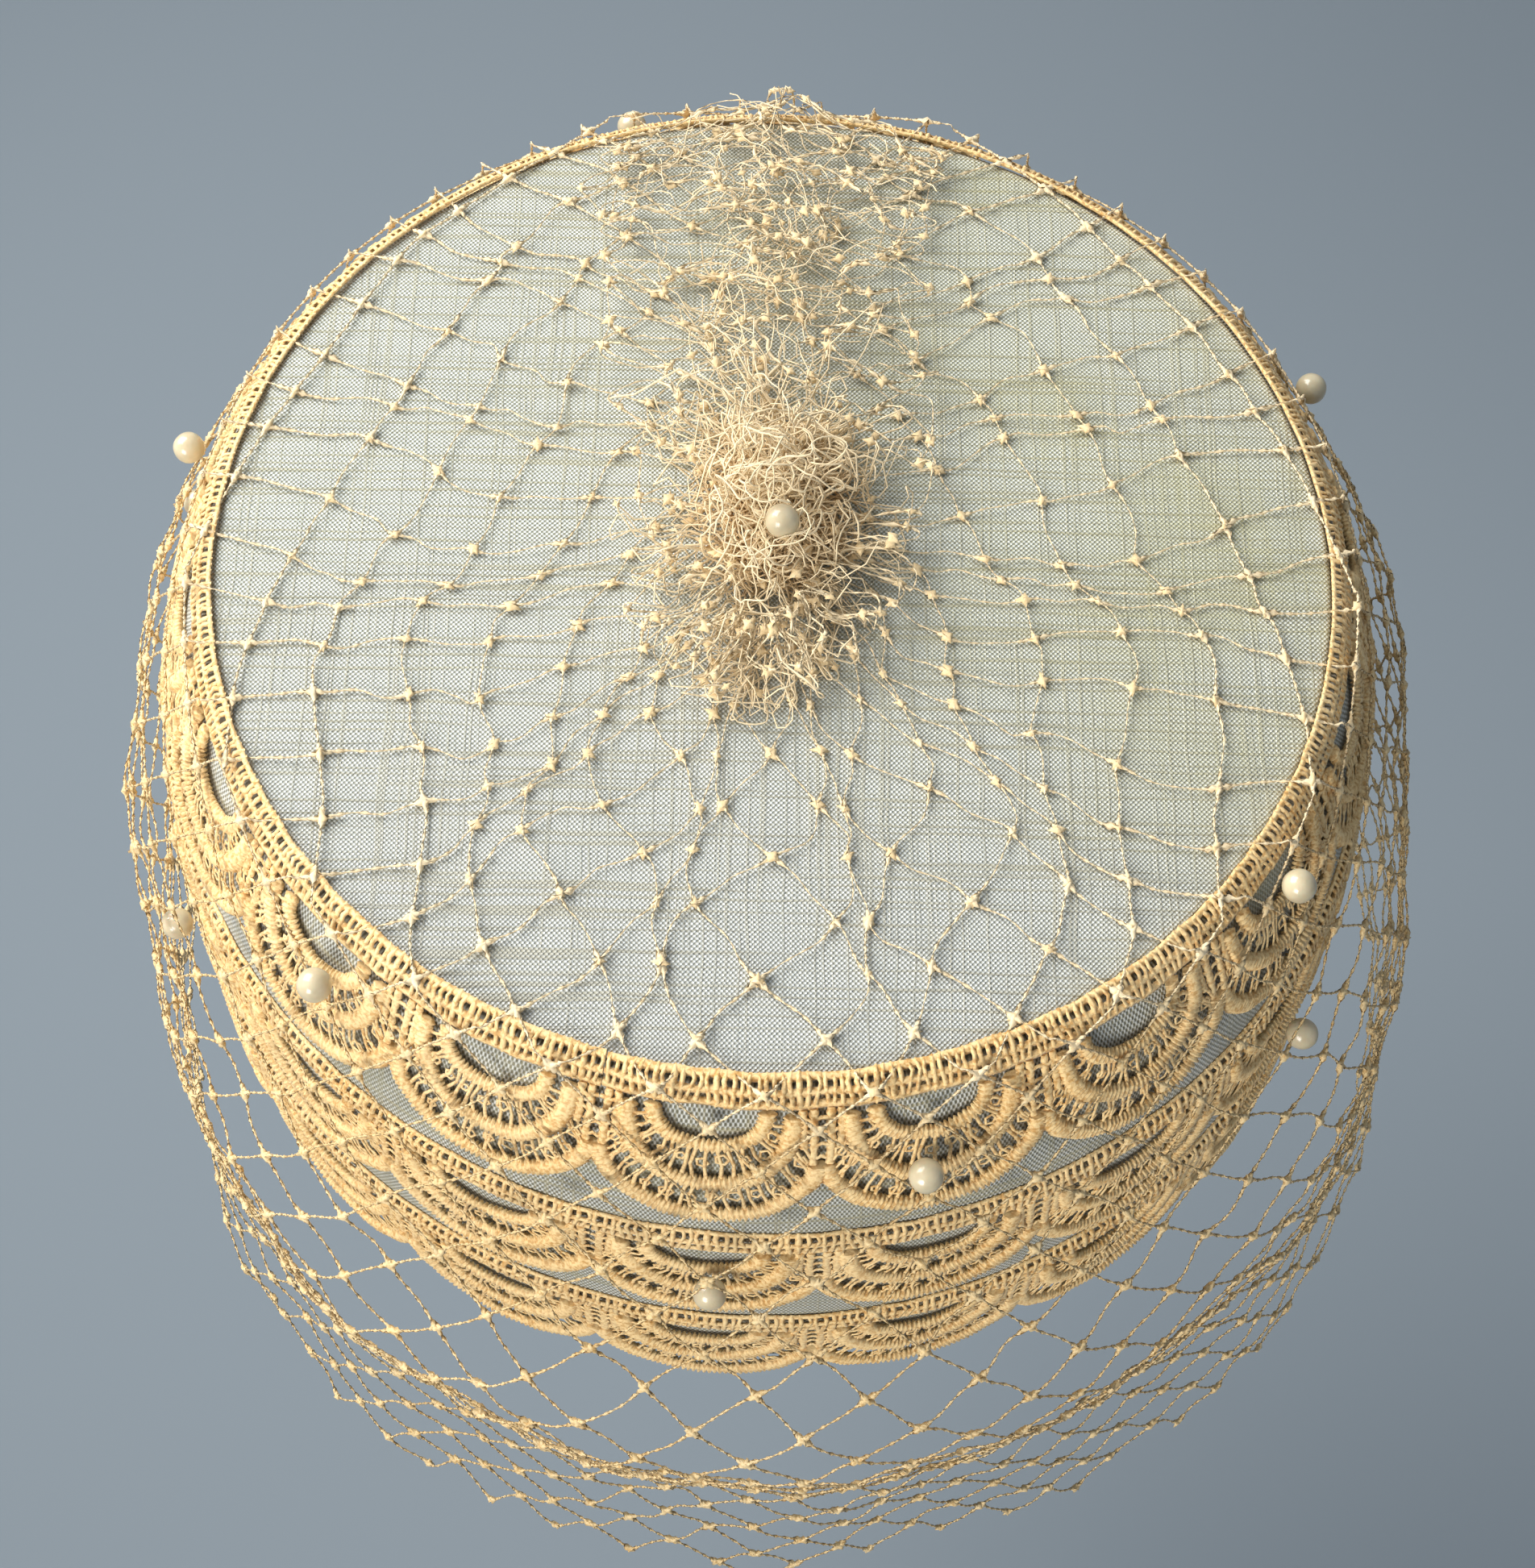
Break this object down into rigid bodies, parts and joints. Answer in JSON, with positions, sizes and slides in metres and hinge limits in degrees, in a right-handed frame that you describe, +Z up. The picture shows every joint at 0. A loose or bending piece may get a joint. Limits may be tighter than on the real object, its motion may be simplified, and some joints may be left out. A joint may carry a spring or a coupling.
{
  "type": "pillbox hat",
  "caption": "Cloth-covered pillbox hat with tiers of scalloped lace on its flared band, sewn pearls, and a net veil gathered at the crown and hanging below the rim.",
  "frame": {"origin": "the middle of the head opening, in the plane of the side band's lower edge, where a head's band line sits", "axes": "+Z up through the crown, -Y the front of the hat, +X to the side on the right of the picture"},
  "size_m": [0.2311, 0.2319, 0.1682],
  "materials": {
    "crown_silk": "pale ivory slub silk, plain weave with a cool sheen",
    "band_silk": "the same slub silk, in the shade of the lace",
    "lace": "golden beige corded lace with satin-stitched scallops",
    "net": "cream twisted thread netting with star-shaped knots",
    "pearl": "ivory imitation pearl with a soft sheen"
  },
  "bodies": {
    "root": {"crown_tip": "crown_silk", "side_band": "band_silk", "lace_top": "lace", "lace_middle": "lace", "lace_bottom": "lace", "veil": "net", "veil_gather": "net", "pearl_centre": "pearl", "pearl_top_1": "pearl", "pearl_top_2": "pearl", "pearl_top_3": "pearl", "pearl_top_4": "pearl", "pearl_top_5": "pearl", "pearl_top_6": "pearl", "pearl_middle_1": "pearl", "pearl_middle_2": "pearl", "pearl_middle_3": "pearl", "pearl_middle_4": "pearl", "pearl_middle_5": "pearl", "pearl_middle_6": "pearl"}
  },
  "joints": []
}
